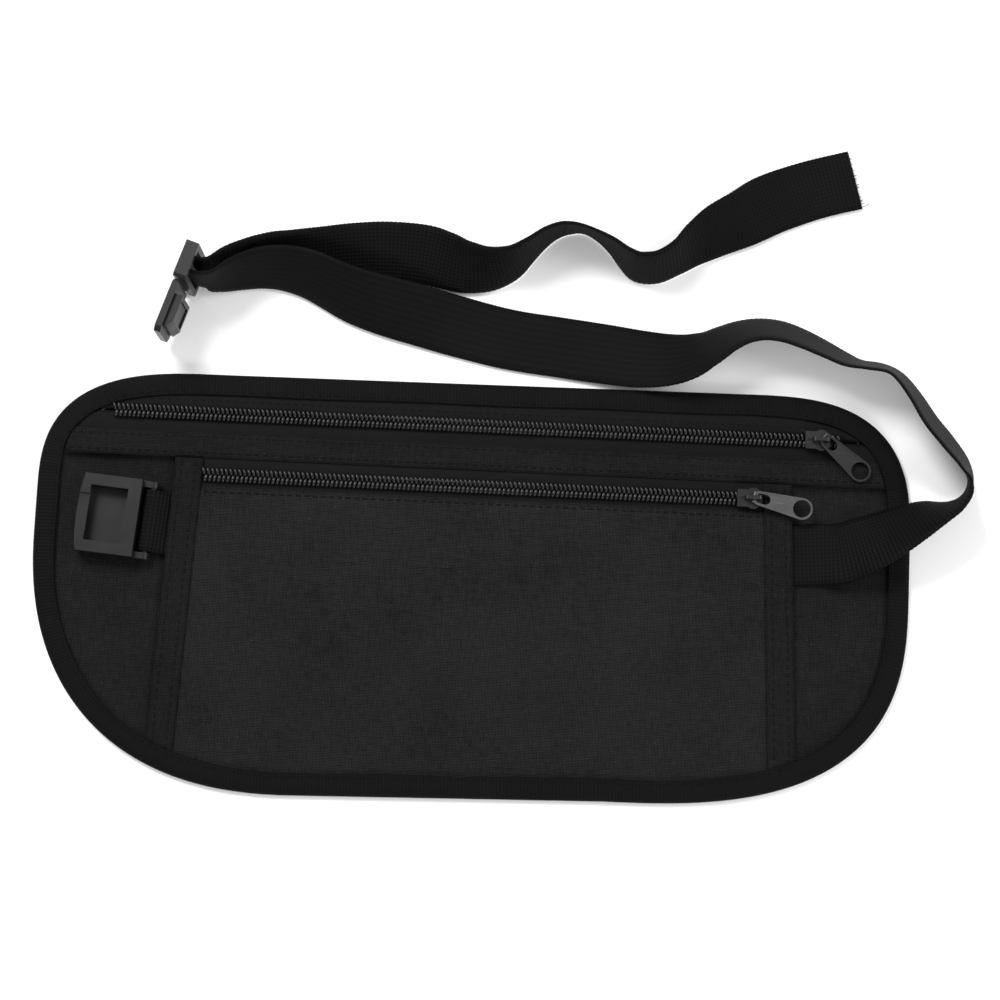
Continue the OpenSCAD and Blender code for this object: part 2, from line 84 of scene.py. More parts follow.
def camera():
    data = bpy.data.cameras.new("camera")
    data.lens, data.sensor_width = 85, 36
    data.clip_start, data.clip_end = 0.05, 20
    cam = bpy.data.objects.new("camera", data)
    bpy.context.scene.collection.objects.link(cam)
    right = CAMERA_RIGHT.normalized()
    fwd = CAMERA_FORWARD.normalized()
    right = (right - fwd * right.dot(fwd)).normalized()
    up = right.cross(fwd)
    m = Matrix((right, up, -fwd)).transposed().to_4x4()
    m.translation = CAMERA_AT * MM
    cam.matrix_world = m
    bpy.context.scene.camera = cam


def area_light(name, at, aim, size, power, colour=(1, 1, 1)):
    data = bpy.data.lights.new(name, "AREA")
    data.shape, data.size, data.energy, data.color = "DISK", size, power, colour
    o = bpy.data.objects.new(name, data)
    bpy.context.scene.collection.objects.link(o)
    o.location = at
    o.rotation_mode = "QUATERNION"
    o.rotation_quaternion = (Vector(aim) - Vector(at)).to_track_quat("-Z", "Y")


def stage():
    me = bpy.data.meshes.new("floor")
    h = FLOOR_HALF
    me.from_pydata([(-h, -h, 0), (h, -h, 0), (h, h, 0), (-h, h, 0)], [], [(0, 1, 2, 3)])
    floor = bpy.data.objects.new("floor", me)
    floor.location = (0, 0, -0.0002)
    bpy.context.scene.collection.objects.link(floor)
    mat = bpy.data.materials.new("floor")
    mat.use_nodes = True
    b = mat.node_tree.nodes["Principled BSDF"]
    b.inputs["Base Color"].default_value = (*grey(FLOOR_GREY), 1)
    b.inputs["Roughness"].default_value = 0.9
    me.materials.append(mat)
    world = bpy.data.worlds.new("world")
    bpy.context.scene.world = world
    bpy.context.scene.view_settings.view_transform = "Standard"
    world.use_nodes = True
    world.node_tree.nodes["Background"].inputs[0].default_value = (1, 1, 1, 1)
    world.node_tree.nodes["Background"].inputs[1].default_value = 0.62
    area_light("key", (-0.55, 0.75, 1.1), (0, 0.02, 0), 0.6, 20)
    area_light("fill", (0.9, 0.3, 0.9), (0, 0, 0), 0.8, 7)
    area_light("low", (0.3, -1.1, 0.7), (0.05, 0, 0), 0.5, 8)


# ---------------------------------------------------------------- materials
class Mat:
    """A small helper round one Principled material."""

    def __init__(self, name, colour, rough, **sockets):
        self.mat = bpy.data.materials.new(name)
        self.mat.use_nodes = True
        self.t = self.mat.node_tree
        self.b = self.t.nodes["Principled BSDF"]
        self.b.inputs["Base Color"].default_value = (*colour, 1)
        self.b.inputs["Roughness"].default_value = rough
        for key, value in sockets.items():
            self.b.inputs[key.replace("_", " ")].default_value = value
        self.co = self.t.nodes.new("ShaderNodeTexCoord")

    def node(self, kind, inputs=(), **props):
        n = self.t.nodes.new(kind)
        for k, v in props.items():
            setattr(n, k, v)
        for k, v in dict(inputs).items():
            if isinstance(v, bpy.types.NodeSocket):
                self.t.links.new(v, n.inputs[k])
            else:
                n.inputs[k].default_value = v
        return n

    def link(self, a, b):
        self.t.links.new(a, b)

    def coords(self, uv=False, scale=(1, 1, 1), turn=0.0):
        src = self.co.outputs["UV" if uv else "Object"]
        inputs = {"Vector": src, "Rotation": (0, 0, turn), "Scale": scale}
        return self.node("ShaderNodeMapping", inputs).outputs[0]

    def wave(self, vec, pitch, distort=0.0, direction="X"):
        n = self.node("ShaderNodeTexWave", {"Vector": vec, "Scale": math.pi / 10 / pitch,
                      "Distortion": distort, "Detail": 1.0, "Detail Scale": 2.0},
                      wave_type="BANDS", bands_direction=direction, wave_profile="SIN")
        return n.outputs["Fac"]

    def noise(self, vec, scale, detail=3.0):
        inputs = {"Vector": vec, "Scale": scale, "Detail": detail}
        return self.node("ShaderNodeTexNoise", inputs).outputs["Fac"]

    def math(self, op, a, b=0.0):
        return self.node("ShaderNodeMath", {0: a, 1: b}, operation=op).outputs[0]

    def ramp(self, fac, stops):
        n = self.node("ShaderNodeValToRGB", {"Fac": fac})
        el = n.color_ramp.elements
        while len(el) < len(stops):
            el.new(0.5)
        for e, (p, c) in zip(el, stops):
            e.position, e.color = p, (*c, 1)
        return n.outputs["Color"]

    def finish(self, colour=None, rough=None, height=None, bump=0.3, dist=0.0002):
        if colour is not None:
            self.link(colour, self.b.inputs["Base Color"])
        if rough is not None:
            self.link(rough, self.b.inputs["Roughness"])
        if height is not None:
            n = self.node("ShaderNodeBump", {"Height": height, "Strength": bump, "Distance": dist})
            self.link(n.outputs[0], self.b.inputs["Normal"])
        return self.mat


def grey(v, tint=(1.0, 1.0, 1.0)):
    return tuple(v * t for t in tint)


def canvas(name="canvas", base=0.0030, sheen=0.004):
    """Plain-woven polyester canvas: two crossing thread sets, slubs, and a little pale lint."""
    m = Mat(name, grey(base), 0.62, Sheen_Weight=sheen, Sheen_Roughness=0.45, Specular_IOR_Level=0.06)
    flat = m.coords()
    slub = m.noise(m.coords(scale=(260, 1900, 400)), 1.0, 2.0)
    slub2 = m.noise(m.coords(scale=(1900, 260, 400)), 1.0, 2.0)
    warp = m.wave(flat, 0.00046, 0.35, "X")
    weft = m.wave(flat, 0.00050, 0.35, "Y")
    cross = m.math("MAXIMUM", m.math("MULTIPLY", warp, m.math("ADD", slub, 0.45)),
                   m.math("MULTIPLY", weft, m.math("ADD", slub2, 0.45)))
    patch = m.noise(flat, 28.0, 3.0)
    lint = m.math("GREATER_THAN", m.noise(flat, 2600.0, 1.0), 0.775)
    tone = m.math("ADD", m.math("MULTIPLY", cross, 0.75), m.math("MULTIPLY", patch, 0.25))
    colour = m.ramp(tone, [(0.28, grey(base * 0.15)), (0.6, grey(base * 0.8)), (0.9, grey(base * 4.6))])
    lint_mix = {0: m.math("MULTIPLY", lint, 0.35), 6: colour, 7: (*grey(0.16), 1)}
    mix = m.node("ShaderNodeMix", lint_mix, data_type="RGBA")
    rough = m.math("ADD", m.math("MULTIPLY", cross, -0.12), 0.68)
    return m.finish(mix.outputs[2], rough, cross, 0.55, 0.00022)


def tape(name, base, pitch_u, pitch_v, bump=0.5, sheen=0.012):
    """Narrow woven tape: ribs across it and fine threads along it, from the sweep's own UVs in mm."""
    m = Mat(name, grey(base), 0.66, Sheen_Weight=sheen, Sheen_Roughness=0.4, Specular_IOR_Level=0.06)
    vec = m.coords(uv=True)
    rib = m.wave(vec, pitch_u, 0.25, "X")
    thread = m.wave(vec, pitch_v, 0.3, "Y")
    body = m.math("ADD", m.math("MULTIPLY", rib, 0.6), m.math("MULTIPLY", thread, 0.4))
    patch = m.noise(m.coords(), 60.0, 3.0)
    tone = m.math("ADD", m.math("MULTIPLY", body, 0.6), m.math("MULTIPLY", patch, 0.4))
    colour = m.ramp(tone, [(0.2, grey(base * 0.5)), (0.6, grey(base * 1.1)), (0.95, grey(base * 2.2))])
    return m.finish(colour, None, body, bump, 0.0002)


def twill(name, base, pitch, turn=0.9):
    """Slanting ribs crossed by fine threads, for the zip tapes and the sewing thread."""
    m = Mat(name, grey(base), 0.6, Sheen_Weight=0.003, Sheen_Roughness=0.4, Specular_IOR_Level=0.08)
    rib = m.wave(m.coords(turn=turn), pitch, 0.3, "X")
    thread = m.wave(m.coords(), pitch * 0.8, 0.3, "Y")
    body = m.math("ADD", m.math("MULTIPLY", rib, 0.7), m.math("MULTIPLY", thread, 0.3))
    tone = m.math("ADD", m.math("MULTIPLY", body, 0.6), m.math("MULTIPLY", m.noise(m.coords(), 90.0), 0.4))
    colour = m.ramp(tone, [(0.2, grey(base * 0.5)), (0.6, grey(base * 1.1)), (0.95, grey(base * 2.0))])
    return m.finish(colour, None, body, 0.45, 0.00016)


def moulded(name, base, rough, grain=3200.0, bump=0.12, metallic=0.0, coat=0.0, scratch=0.0,
            specular=0.5):
    """Moulded plastic or painted metal with a fine grain and, where scratch is above 0, worn streaks."""
    m = Mat(name, grey(base), rough, Metallic=metallic, Coat_Weight=coat, Coat_Roughness=0.25,
            Specular_IOR_Level=specular)
    fine = m.noise(m.coords(), grain, 4.0)
    patch = m.noise(m.coords(), 130.0, 3.0)
    tone = m.math("ADD", m.math("MULTIPLY", fine, 0.35), m.math("MULTIPLY", patch, 0.65))
    colour = m.ramp(tone, [(0.3, grey(base * 0.75)), (0.55, grey(base)), (0.8, grey(base * 1.35))])
    if scratch:
        s = m.noise(m.coords(scale=(120, 2400, 900), turn=0.6), 1.0, 2.0)
        worn = m.math("MULTIPLY", m.math("GREATER_THAN", s, 0.7), scratch)
        mix = m.node("ShaderNodeMix", {0: worn, 6: colour, 7: (*grey(base * 3.5), 1)}, data_type="RGBA")
        colour = mix.outputs[2]
    r = m.math("ADD", m.math("MULTIPLY", patch, 0.25), rough - 0.12)
    return m.finish(colour, r, fine, bump, 0.00006)


# ---------------------------------------------------------------- mesh helpers
def make(name, verts, faces, mat, body, smooth=True, uvs=None, replaces=()):
    me = bpy.data.meshes.new(name)
    me.from_pydata([tuple(c * MM for c in v) for v in verts], [], faces)
    me.validate()
    me.update()
    if smooth:
        me.polygons.foreach_set("use_smooth", [True] * len(me.polygons))
    if uvs is not None:
        layer = me.uv_layers.new(name="UVMap")
        idx = np.empty(len(me.loops), int)
        me.loops.foreach_get("vertex_index", idx)
        flat = (np.array(uvs, float)[idx] * MM).ravel()
        layer.data.foreach_set("uv", flat)
    me.materials.append(mat)
    o = bpy.data.objects.new(name, me)
    bpy.context.scene.collection.objects.link(o)
    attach(o, body)
    if replaces:
        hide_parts(*replaces)
    return o


def corner(c, a, d):
    """A point on one rounded corner, drawn in by d. Angle a is 0 at the side and 90 at top or bottom."""
    sx, sy, ex, ey, rx, ry, n = c
    u = max(math.cos(math.radians(a)), 0) ** (2 / n)
    v = max(math.sin(math.radians(a)), 0) ** (2 / n)
    nu, nv = u ** (n - 1) / rx, v ** (n - 1) / ry
    m = math.hypot(nu, nv)
    return (sx * (ex - rx + rx * u - d * nu / m), sy * (ey - ry + ry * v - d * nv / m))


def outline_path(d):
    """Closed list of (x, y) round the outline, drawn in by d, clockwise from the top right corner's start."""
    pts = []
    for k, (a0, a1) in enumerate(((90, 0), (0, 90), (90, 0), (0, 90))):
        pts += [corner(CORNERS[k], a0 + (a1 - a0) * i / 90, d) for i in range(91)]
    return pts


SIDES = {}


def edge_x(y, side, d):
    """The outline's x at height y on one side, drawn in by d."""
    key = round(d, 3)
    if key not in SIDES:
        p = outline_path(d)
        first_left = 2 * 91
        right, left = p[:first_left + 1], p[first_left:] + p[:1]
        SIDES[key] = {1: sorted((b, a) for a, b in right), -1: sorted((b, a) for a, b in left)}
    rows = SIDES[key][side]
    return float(np.interp(y, [r[0] for r in rows], [r[1] for r in rows]))


def even(path, step, closed=False):
    """The same path at an even spacing in x, y and z. Further columns, such as a roll, are carried along."""
    p = np.array(path, float)
    if closed:
        p = np.vstack([p, p[:1]])
    seg = np.linalg.norm(np.diff(p[:, :3], axis=0), axis=1)
    s = np.concatenate([[0], np.cumsum(seg)])
    n = max(2, int(round(s[-1] / step)))
    q = np.linspace(0, s[-1], n + 1)
    out = np.stack([np.interp(q, s, p[:, k]) for k in range(p.shape[1])], 1)
    return (out[:-1] if closed else out), s[-1]


def interp(profile, y):
    """Height at y from a profile of (y, z) points."""
    ys, zs = [p[0] for p in profile], [p[1] for p in profile]
    return float(np.interp(y, ys, zs))


def cloth_piece(name, node, y0, y1, left, right, height, mat, step=2.0, t=CLOTH):
    """One panel: rows from y0 to y1, each from left(y) to right(y), with its underside at height(x, y)."""
    rows = max(2, int((y1 - y0) / step))
    width = max(right((y0 + y1) / 2) - left((y0 + y1) / 2), 2)
    cols = max(2, int(width / step))
    top, low, uvs = [], [], []
    for i in range(rows + 1):
        y = y0 + (y1 - y0) * i / rows
        a, b = left(y), right(y)
        for j in range(cols + 1):
            x = a + (b - a) * j / cols
            z = height(x, y)
            top.append((x, y, z + t))
            low.append((x, y, z))
            uvs.append((x, y))
    n = (rows + 1) * (cols + 1)
    faces = []
    for i in range(rows):
        for j in range(cols):
            a = i * (cols + 1) + j
            b, c, d = a + 1, a + cols + 2, a + cols + 1
            faces.append((a, b, c, d))
            faces.append((n + d, n + c, n + b, n + a))
    border = [j for j in range(cols + 1)] + [i * (cols + 1) + cols for i in range(1, rows + 1)]
    border += [rows * (cols + 1) + j for j in range(cols - 1, -1, -1)]
    border += [i * (cols + 1) for i in range(rows - 1, 0, -1)]
    for k, a in enumerate(border):
        b = border[(k + 1) % len(border)]
        faces.append((b, a, n + a, n + b))
    o = make(name, top + low, faces, mat, "pouch", uvs=uvs + uvs, replaces=[node])
    w = max(right(y) - left(y) for y in np.linspace(y0, y1, 9))
    real = sum(right(y) - left(y) for y in np.linspace(y0, y1, 41)) / 41 * (y1 - y0)
    return o


def stitches(name, rows, mat, pitch=2.7, length=1.95, wide=0.42, high=0.2):
    """Rows of sewn thread. Each row is a list of (x, y, z) on the cloth, and each stitch dips at its ends."""
    verts, faces = [], []
    ring, stations = 6, 6
    for row in rows:
        p, total = even(row, pitch)
        for k in range(len(p) - 1):
            a, b = p[k], p[k + 1]
            mid, d = (a + b) / 2, b - a
            d = d / np.linalg.norm(d)
            d = d + np.array([rng.uniform(-0.05, 0.05), rng.uniform(-0.05, 0.05), 0])
            side = np.array([-d[1], d[0], 0])
            side /= np.linalg.norm(side)
            ln = length * rng.uniform(0.9, 1.08)
            base = len(verts)
            for i in range(stations + 1):
                u = i / stations * 2 - 1
                r = math.sqrt(max(0.02, 1 - u ** 4))
                c = mid + d * (u * ln / 2) + np.array([0, 0, high * (1 - u * u) - 0.12])
                for j in range(ring):
                    ang = 2 * math.pi * j / ring
                    up = np.array([0, 0, wide / 2 * r * math.sin(ang)])
                    verts.append(tuple(c + side * (wide / 2 * r * math.cos(ang)) + up))
            for i in range(stations):
                for j in range(ring):
                    q = base + i * ring + j
                    w = base + i * ring + (j + 1) % ring
                    faces.append((q, w, w + ring, q + ring))
            faces.append(tuple(base + j for j in range(ring))[::-1])
            faces.append(tuple(base + stations * ring + j for j in range(ring)))
    return make(name, verts, faces, mat, "pouch")


# ---------------------------------------------------------------- materials in use
CANVAS = canvas()
POCKET = canvas("canvas_pocket", 0.0040, 0.006)
BAND = canvas("canvas_band", 0.0026, 0.003)
BIND = tape("binding_tape", 0.0026, 0.0011, 0.0005, sheen=0.004)
ZIPTAPE = twill("zip_tape", 0.0024, 0.0005)
THREAD = twill("thread", 0.0032, 0.0003, 0.5)
COIL = moulded("zip_coil", 0.0045, 0.34, 1500.0, 0.05, specular=0.35)
METAL = moulded("slider_paint", 0.016, 0.36, 2600.0, 0.10, metallic=0.65, coat=0.25, scratch=0.35)
METAL_LIGHT = moulded("pull_paint", 0.075, 0.34, 2600.0, 0.10, metallic=0.7, coat=0.25, scratch=0.5)
PLASTIC = moulded("buckle_plastic", 0.0050, 0.38, 4200.0, 0.16, specular=0.26)
WEB_A = tape("webbing_face", 0.0028, 0.00125, 0.00125, bump=0.9, sheen=0.002)
WEB_B = tape("webbing_back", 0.0030, 0.00052, 0.0021, bump=0.5, sheen=0.005)

camera()
stage()


# ---------------------------------------------------------------- pouch cloth
def left_line(y):
    return -88.6 - (POCKET_Y - y) * LEAN


def right_line(y):
    return 91.8 + (POCKET_Y - y) * LEAN


IN = 1.6
FRONT_PROFILE = [(-70, FRONT_Z), (38.2, FRONT_Z), (41.5, MAIN_TAPE_Z + CLOTH), (60, MAIN_TAPE_Z + CLOTH)]
POCKET_PROFILE = [(-70, FRONT_Z + CLOTH), (-44, FRONT_Z + CLOTH), (22, HEM_Z), (60, HEM_Z)]


def band_edge(line, off):
    """A band's edge: its line moved sideways by off, kept inside the outline."""
    return lambda y: max(min(line(y) + off, edge_x(y, 1, IN)), edge_x(y, -1, IN))


def on_pocket(x, y):
    """Height of the pocket's top face."""
    return interp(POCKET_PROFILE, y) + CLOTH


hem = cloth_piece("hem_cloth", "hem_band", 39.2, 47.4,
                  lambda y: edge_x(y, -1, BIND_W + 0.3), lambda y: edge_x(y, 1, BIND_W + 0.3),
                  lambda x, y: HEM_Z, BAND, 1.2)
band_l = cloth_piece("left_band_cloth", "left_band", -BOTTOM + 7, 38.9, band_edge(left_line, -9),
                     band_edge(left_line, 0), on_pocket, BAND, 1.2)
band_r = cloth_piece("right_band_cloth", "right_band", -BOTTOM + 7, 38.9, band_edge(right_line, 0),
                     band_edge(right_line, 9), on_pocket, BAND, 1.2)
cloth_piece("back_cloth", "back_panel", -BOTTOM + BIND_W + 0.35, TOP - BIND_W - 0.35,
            lambda y: edge_x(y, -1, BIND_W + 0.35), lambda y: edge_x(y, 1, BIND_W + 0.35),
            lambda x, y: 0.02, CANVAS, 3.0)
cloth_piece("front_cloth", "front_panel", -BOTTOM + IN, 47.4,
            lambda y: edge_x(y, -1, IN), lambda y: edge_x(y, 1, IN),
            lambda x, y: interp(FRONT_PROFILE, y), CANVAS, 2.0)
cloth_piece("pocket_cloth", "pocket_panel", -BOTTOM + IN, 29.8,
            lambda y: max(left_line(y) - 2.2, edge_x(y, -1, IN)),
            lambda y: min(right_line(y) + 2.2, edge_x(y, 1, IN)),
            lambda x, y: interp(POCKET_PROFILE, y), POCKET, 2.0)

# Zip tapes
for nm, y, z, x0, x1, lo, hi in (
        ("main_tape_upper", MAIN_Y, MAIN_TAPE_Z, None, None, 0.35, 11.3),
        ("main_tape_lower", MAIN_Y, MAIN_TAPE_Z, None, None, -11.3, -0.35),
        ("pocket_tape_upper", POCKET_Y, POCKET_TAPE_Z, -90.8, 94.0, 0.35, 10.7),
        ("pocket_tape_lower", POCKET_Y, POCKET_TAPE_Z, -90.8, 94.0, -11.3, -0.35)):
    cloth_piece(nm + "_cloth", nm, y + lo, y + hi,
                (lambda v: edge_x(v, -1, IN)) if x0 is None else (lambda v: x0),
                (lambda v: edge_x(v, 1, IN)) if x1 is None else (lambda v: x1),
                lambda x, v, z=z: z, ZIPTAPE, 1.2)


# ---------------------------------------------------------------- binding: a tape folded round the edge
def binding():
    path, total = even(outline_path(0.0), 1.2, closed=True)
    n = len(path)
    # section: (inset, z), clockwise from the inner end of the top leaf
    top = BIND_TOP
    section = [(BIND_W, top - 0.5), (BIND_W, top - 0.08), (6.8, top + 0.02), (6.0, top - 0.05),
               (4.5, top + 0.02), (2.8, top), (1.5, top - 0.2), (0.7, top - 0.6), (0.25, top - 1.15),
               (0.12, top / 2), (0.25, 1.1), (0.7, 0.5), (1.5, 0.15), (3, 0.04), (6.8, 0.02),
               (BIND_W, 0.08), (BIND_W, 0.42), (3, 0.42), (1.4, 0.7), (0.62, 1.3), (0.55, top / 2),
               (0.7, top - 1.2), (1.3, top - 0.7), (2.8, top - 0.5)]
    k = len(section)
    lengths = [0.0]
    for a, b in zip(section, section[1:]):
        lengths.append(lengths[-1] + math.dist(a, b))
    verts, uvs, faces = [], [], []
    s = 0.0
    for i in range(n + 1):
        p, q, r = path[(i - 1) % n], path[i % n], path[(i + 1) % n]
        t = (r - p) / np.linalg.norm(r - p)
        inward = np.array([t[1], -t[0]])
        pucker = 0.10 * math.sin(s / 2.7 * 2 * math.pi * 0.5) + 0.06 * math.sin(s / 11.0)
        for (d, z), u in zip(section, lengths):
            w = 1.0 if z > top / 2 else 0.0
            ripple = pucker * w * max(0.0, min(1.0, (d - 0.4) / 3))
            sway = 0.16 * math.sin(s / 9.3) if d > 6.5 and z > 1 else 0.0
            verts.append((q[0] + inward[0] * (d + sway), q[1] + inward[1] * (d + sway), z + ripple * 0.6))
            uvs.append((s, u))
        s += total / n
    for i in range(n):
        for j in range(k):
            a, b = i * k + j, i * k + (j + 1) % k
            faces.append((a, a + k, b + k, b))
    return make("edge_binding_tape", verts, faces, BIND, "pouch", uvs=uvs,
                replaces=["edge_binding"])


binding()


def on_binding(d, z):
    p, total = even(outline_path(d), 2.0, closed=True)
    return [(a, b, z) for a, b in list(p) + [p[0]]]


def straight(f, y0, y1, z, n=40):
    ys = [y0 + (y1 - y0) * i / n for i in range(n + 1)]
    return [(f(y), y, z(y)) for y in ys]


def along_x(y, z, x0, x1, n=60):
    return [(x0 + (x1 - x0) * i / n, y, z) for i in range(n + 1)]


stitches("binding_stitches", [on_binding(6.0, BIND_TOP - 0.02)], THREAD, pitch=2.75)
stitches("binding_stitches_back", [on_binding(6.0, -0.0)], THREAD, pitch=2.75,
         high=0.05, wide=0.2)
hx0, hx1 = edge_x(43, -1, BIND_W + 0.4), edge_x(43, 1, BIND_W + 0.4)
stitches("hem_stitches", [along_x(y, HEM_Z + CLOTH, hx0, hx1, 100) for y in (40.7, 46.0)], THREAD)
rows = []
for line, sgn in ((left_line, -1), (right_line, 1)):
    for off in (2.3, 6.9):
        rows.append(straight(lambda y: line(y) + sgn * off, -57.5 + (1.5 if off > 5 else 0), 38.3,
                             lambda y: interp(POCKET_PROFILE, y) + 2 * CLOTH))
stitches("band_stitches", rows, THREAD)
stitches("pocket_stitches",
         [along_x(28.2, HEM_Z + CLOTH, left_line(28) + 0.6, right_line(28) - 0.6, 80)], THREAD)
stitches("tape_stitches",
         [along_x(MAIN_Y + 4.3, MAIN_TAPE_Z + CLOTH, -113, 112, 90)], THREAD, wide=0.3)


# ---------------------------------------------------------------- zip chains
def chain(name, node, y, z, side, x0, x1, pitch=1.45):
    """One side of a coil zip: a close row of bent plastic loops, leaning into a chevron."""
    verts, faces = [], []
    path = [(2.15, 0.25, 0.55), (2.1, 0.85, 0.5), (1.75, 1.2, 0.36), (1.2, 1.32, 0.22),
            (0.65, 1.25, 0.1), (0.2, 1.0, 0.0), (0.12, 0.5, 0.0)]
    ring = 6
    n = int((x1 - x0) / pitch)
    shift = 0.0 if side > 0 else pitch / 2
    for i in range(n):
        x = x0 + 0.5 + i * pitch + shift
        if x > x1 - 0.7:
            break
        base = len(verts)
        pts = np.array([(x - c * 1.1, y + side * a, z + b) for a, b, c in path])
        for q in range(len(pts)):
            t = pts[min(q + 1, len(pts) - 1)] - pts[max(q - 1, 0)]
            t /= np.linalg.norm(t)
            u = np.array([1.0, 0, 0]) - t * t[0]
            u /= np.linalg.norm(u)
            v = np.cross(t, u)
            ru, rv = (0.56, 0.40)
            for j in range(ring):
                a = 2 * math.pi * j / ring
                verts.append(tuple(pts[q] + u * ru * math.cos(a) + v * rv * math.sin(a)))
        for q in range(len(pts) - 1):
            for j in range(ring):
                a, b = base + q * ring + j, base + q * ring + (j + 1) % ring
                faces.append((a, b, b + ring, a + ring))
        faces.append(tuple(base + j for j in range(ring))[::-1])
        faces.append(tuple(base + (len(pts) - 1) * ring + j for j in range(ring)))
    # the core cord under the loops
    base = len(verts)
    for x in (x0 + 0.3, x1 - 0.3):
        for a, b in ((0.3, 0.05), (1.9, 0.05), (1.9, 0.7), (0.3, 0.7)):
            verts.append((x, y + side * a, z + b))
    faces += [(base, base + 1, base + 2, base + 3), (base + 7, base + 6, base + 5, base + 4)]
    for j in range(4):
        a, b = base + j, base + (j + 1) % 4
        faces.append((a, a + 4, b + 4, b))
    return make(name, verts, faces, COIL, "pouch", replaces=[node])


for zip_name, y, z, x0, x1 in (("main", MAIN_Y, MAIN_TAPE_Z, -118.4, 117.6),
                               ("pocket", POCKET_Y, POCKET_TAPE_Z, -88.3, 91.5)):
    for half, side in (("upper", 1), ("lower", -1)):
        chain(f"{zip_name}_chain_{half}", f"{zip_name}_coil_{half}", y, z + CLOTH, side, x0, x1)


# ---------------------------------------------------------------- webbing ribbons
def smooth_route(route, step):
    """Catmull-Rom through the route's points, at an even spacing."""
    p = np.array(route, float)
    out = []
    for i in range(len(p) - 1):
        p0, p1, p2, p3 = p[max(i - 1, 0)], p[i], p[i + 1], p[min(i + 2, len(p) - 1)]
        n = max(1, int(np.linalg.norm((p2 - p1)[:3]) / 0.5))
        for k in range(n):
            t = k / n
            square, cube = 2 * p0 - 5 * p1 + 4 * p2 - p3, 3 * p1 - p0 - 3 * p2 + p3
            out.append(0.5 * (2 * p1 + (p2 - p0) * t + square * t * t + cube * t ** 3))
    out.append(p[-1])
    return even(out, step)


def ribbon(name, route, width, thick, body, replaces, mats, step=0.5, hem_at_end=False):
    """A flat elastic webbing: ribbed in its thickness, with fine knitted bumps along both edges."""
    pts, total = smooth_route(route, step)
    n = len(pts)
    xyz, roll = pts[:, :3], pts[:, 3]
    cols = 12
    verts, uvs, faces, kind = [], [], [], []
    for i in range(n):
        t = xyz[min(i + 1, n - 1)] - xyz[max(i - 1, 0)]
        t = t / np.linalg.norm(t)
        level = np.array([-t[1], t[0], 0.0])
        level /= np.linalg.norm(level)
        a = math.radians(roll[i])
        w = level * math.cos(a) + np.array([0, 0, math.sin(a)])
        w -= t * (w @ t)
        w /= np.linalg.norm(w)
        nrm = np.cross(t, w)
        s = i * step
        edge = 0.09 * math.sin(2 * math.pi * s / 1.3)
        half, ht = width / 2 - 0.1 + edge, thick / 2 - 0.04
        rib = 0.03 * math.sin(2 * math.pi * s / 1.3)
        swell = 1.0
        if hem_at_end and total - s < 3.2:
            swell = 1.25
        row = []
        for j in range(cols + 1):
            u = -1 + 2 * j / cols
            lift = ht * (1 - 0.35 * abs(u) ** 10) * swell
            row.append((u * half, lift + rib))
        for j in range(cols, -1, -1):
            u = -1 + 2 * j / cols
            lift = -ht * (1 - 0.35 * abs(u) ** 10) * swell
            row.append((u * half, lift - rib))
        for (u, h) in row:
            verts.append(tuple(xyz[i] + w * u + nrm * h))
            uvs.append((s, u))
    k = 2 * (cols + 1)
    for i in range(n - 1):
        for j in range(k):
            a, b = i * k + j, i * k + (j + 1) % k
            faces.append((a, a + k, b + k, b))
            kind.append(0 if j <= cols - 1 or j == k - 1 else 1)
    faces.append(tuple(range(k)))
    faces.append(tuple((n - 1) * k + j for j in range(k))[::-1])
    kind += [0, 0]
    o = make(name, verts, faces, mats[0], body, uvs=uvs, replaces=replaces)
    o.data.materials.append(mats[1])
    o.data.polygons.foreach_set("material_index", kind[:len(o.data.polygons)])
    return o, total


along = (math.cos(math.radians(PLUG_TURN)), math.sin(math.radians(PLUG_TURN)))
across = (-math.sin(math.radians(PLUG_TURN)), math.cos(math.radians(PLUG_TURN)))
WRAP_R = 1.5 + 0.25 + 0.6


def wrap_point(t, n):
    x, y = (PLUG_AT[k] + along[k] * t + across[k] * n for k in (0, 1))
    return [x, y, PLUG_AT[2], -270]


wrap = [wrap_point(WRAP_R, 2.4)]
wrap += [wrap_point(WRAP_R * math.cos(a), -WRAP_R * math.sin(a)) for a in [math.pi * i / 8 for i in range(9)]]
wrap += [wrap_point(-WRAP_R, 2.4)]
strap, strap_len = ribbon("waist_strap_webbing", STRAP_OUT + wrap + STRAP_BACK, 20.0, 1.2, "pouch",
                          ["waist_strap"], (WEB_A, WEB_B), hem_at_end=True)


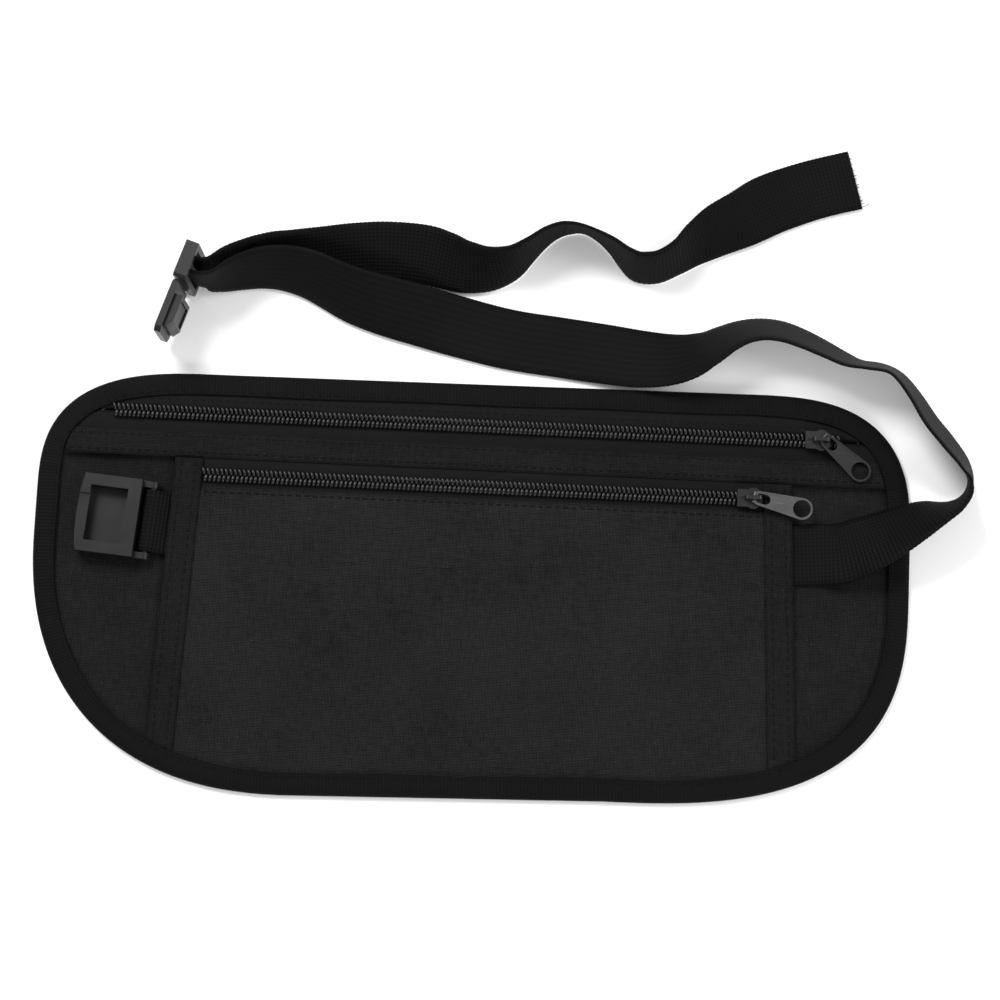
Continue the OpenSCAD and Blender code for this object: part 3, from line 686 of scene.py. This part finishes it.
def frayed_end(count=34, thread_r=0.09, ring=5, stations=6):
    """Loose threads out of the strap's cut end: short ones all along it, longer ones at its two corners."""
    end, before = np.array(STRAP_BACK[-1][:3], float), np.array(STRAP_BACK[-2][:3], float)
    out = (end - before) / np.linalg.norm(end - before)
    side = np.array([-out[1], out[0], 0.0])
    verts, faces = [], []
    for _ in range(count):
        place = rng.uniform(-1, 1)
        at_corner = abs(place) > 0.82
        length = rng.uniform(2.5, 5.5) if at_corner else rng.uniform(0.6, 1.7)
        lean, lift = rng.uniform(-0.6, 0.6), rng.uniform(-0.1, 0.25)
        start = end + side * (9.6 * place) - out * 0.6 + np.array([0, 0, rng.uniform(-0.3, 0.3)])
        base = len(verts)
        for i in range(stations + 1):
            u = i / stations
            rise = np.array([0, 0, lift * length * u])
            c = start + out * (u * length) + side * (lean * length * u * u) + rise
            for j in range(ring):
                a = 2 * math.pi * j / ring
                up = np.array([0, 0, thread_r * math.sin(a)])
                verts.append(tuple(c + side * (thread_r * math.cos(a)) + up))
        for i in range(stations):
            for j in range(ring):
                q, w = base + i * ring + j, base + i * ring + (j + 1) % ring
                faces.append((q, w, w + ring, q + ring))
        faces.append(tuple(base + j for j in range(ring))[::-1])
        faces.append(tuple(base + stations * ring + j for j in range(ring)))
    return make("strap_frayed_end", verts, faces, WEB_A, "pouch")


frayed_end()


def place_socket(x, y, z):
    a = math.radians(SOCKET_TURN)
    return (SOCKET_AT[0] + x * math.cos(a) - y * math.sin(a),
            SOCKET_AT[1] + x * math.sin(a) + y * math.cos(a), SOCKET_AT[2] + z)


def socket_webbing():
    """The short loop that holds the socket: two legs under the left band and a turn round the bar."""
    t = 0.8
    mid = [(10.2, 0.45), (5, 0.45), (0, 0.45)]
    r = 1.55 + 0.45
    mid += [(-r * math.sin(a), BAR_UP - r * math.cos(a)) for a in [math.pi * k / 12 for k in range(1, 12)]]
    mid += [(0, BAR_UP + r), (2.0, 3.75), (4.0, 2.55), (6, 1.36), (8, 1.32), (10.2, 1.32)]
    path, total = even(mid, 0.3)
    n, cols = len(path), 12
    verts, uvs, faces = [], [], []
    for i in range(n):
        d = path[min(i + 1, n - 1)] - path[max(i - 1, 0)]
        d /= np.linalg.norm(d)
        nx, nz = -d[1], d[0]
        s = i * 0.3
        rib = 0.03 * math.sin(2 * math.pi * s / 1.3)
        for side in (1, -1):
            for j in (range(cols + 1) if side > 0 else range(cols, -1, -1)):
                u = -1 + 2 * j / cols
                y = u * (9.9 + 0.08 * math.sin(2 * math.pi * s / 1.3))
                h = side * (t / 2 * (1 - 0.3 * abs(u) ** 10) + rib)
                verts.append(place_socket(path[i][0] + nx * h, y, path[i][1] + nz * h))
                uvs.append((s, y))
    k = 2 * (cols + 1)
    for i in range(n - 1):
        for j in range(k):
            a, b = i * k + j, i * k + (j + 1) % k
            faces.append((a, b, b + k, a + k))
    faces.append(tuple(range(k))[::-1])
    faces.append(tuple((n - 1) * k + j for j in range(k)))
    o = make("buckle_webbing_loop", verts, faces, WEB_A, "pouch", uvs=uvs,
             replaces=["buckle_webbing"])


socket_webbing()


# ---------------------------------------------------------------- hardware: the CAD shape, with broken edges
def dress(node, mat, bevel):
    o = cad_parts[node]
    o.data.materials.clear()
    o.data.materials.append(mat)
    mod = o.modifiers.new("bevel", "BEVEL")
    mod.width, mod.segments = bevel * MM, 2
    mod.limit_method, mod.angle_limit = "ANGLE", math.radians(35)
    mod.harden_normals = True
    return o


dress("main_slider", METAL, 0.18)
dress("pocket_slider", METAL, 0.18)
dress("main_pull", METAL, 0.12)
dress("pocket_pull", METAL_LIGHT, 0.12)
dress("socket_buckle", PLASTIC, 0.35)
dress("plug_frame", PLASTIC, 0.35)
dress("plug_tongue", PLASTIC, 0.3)
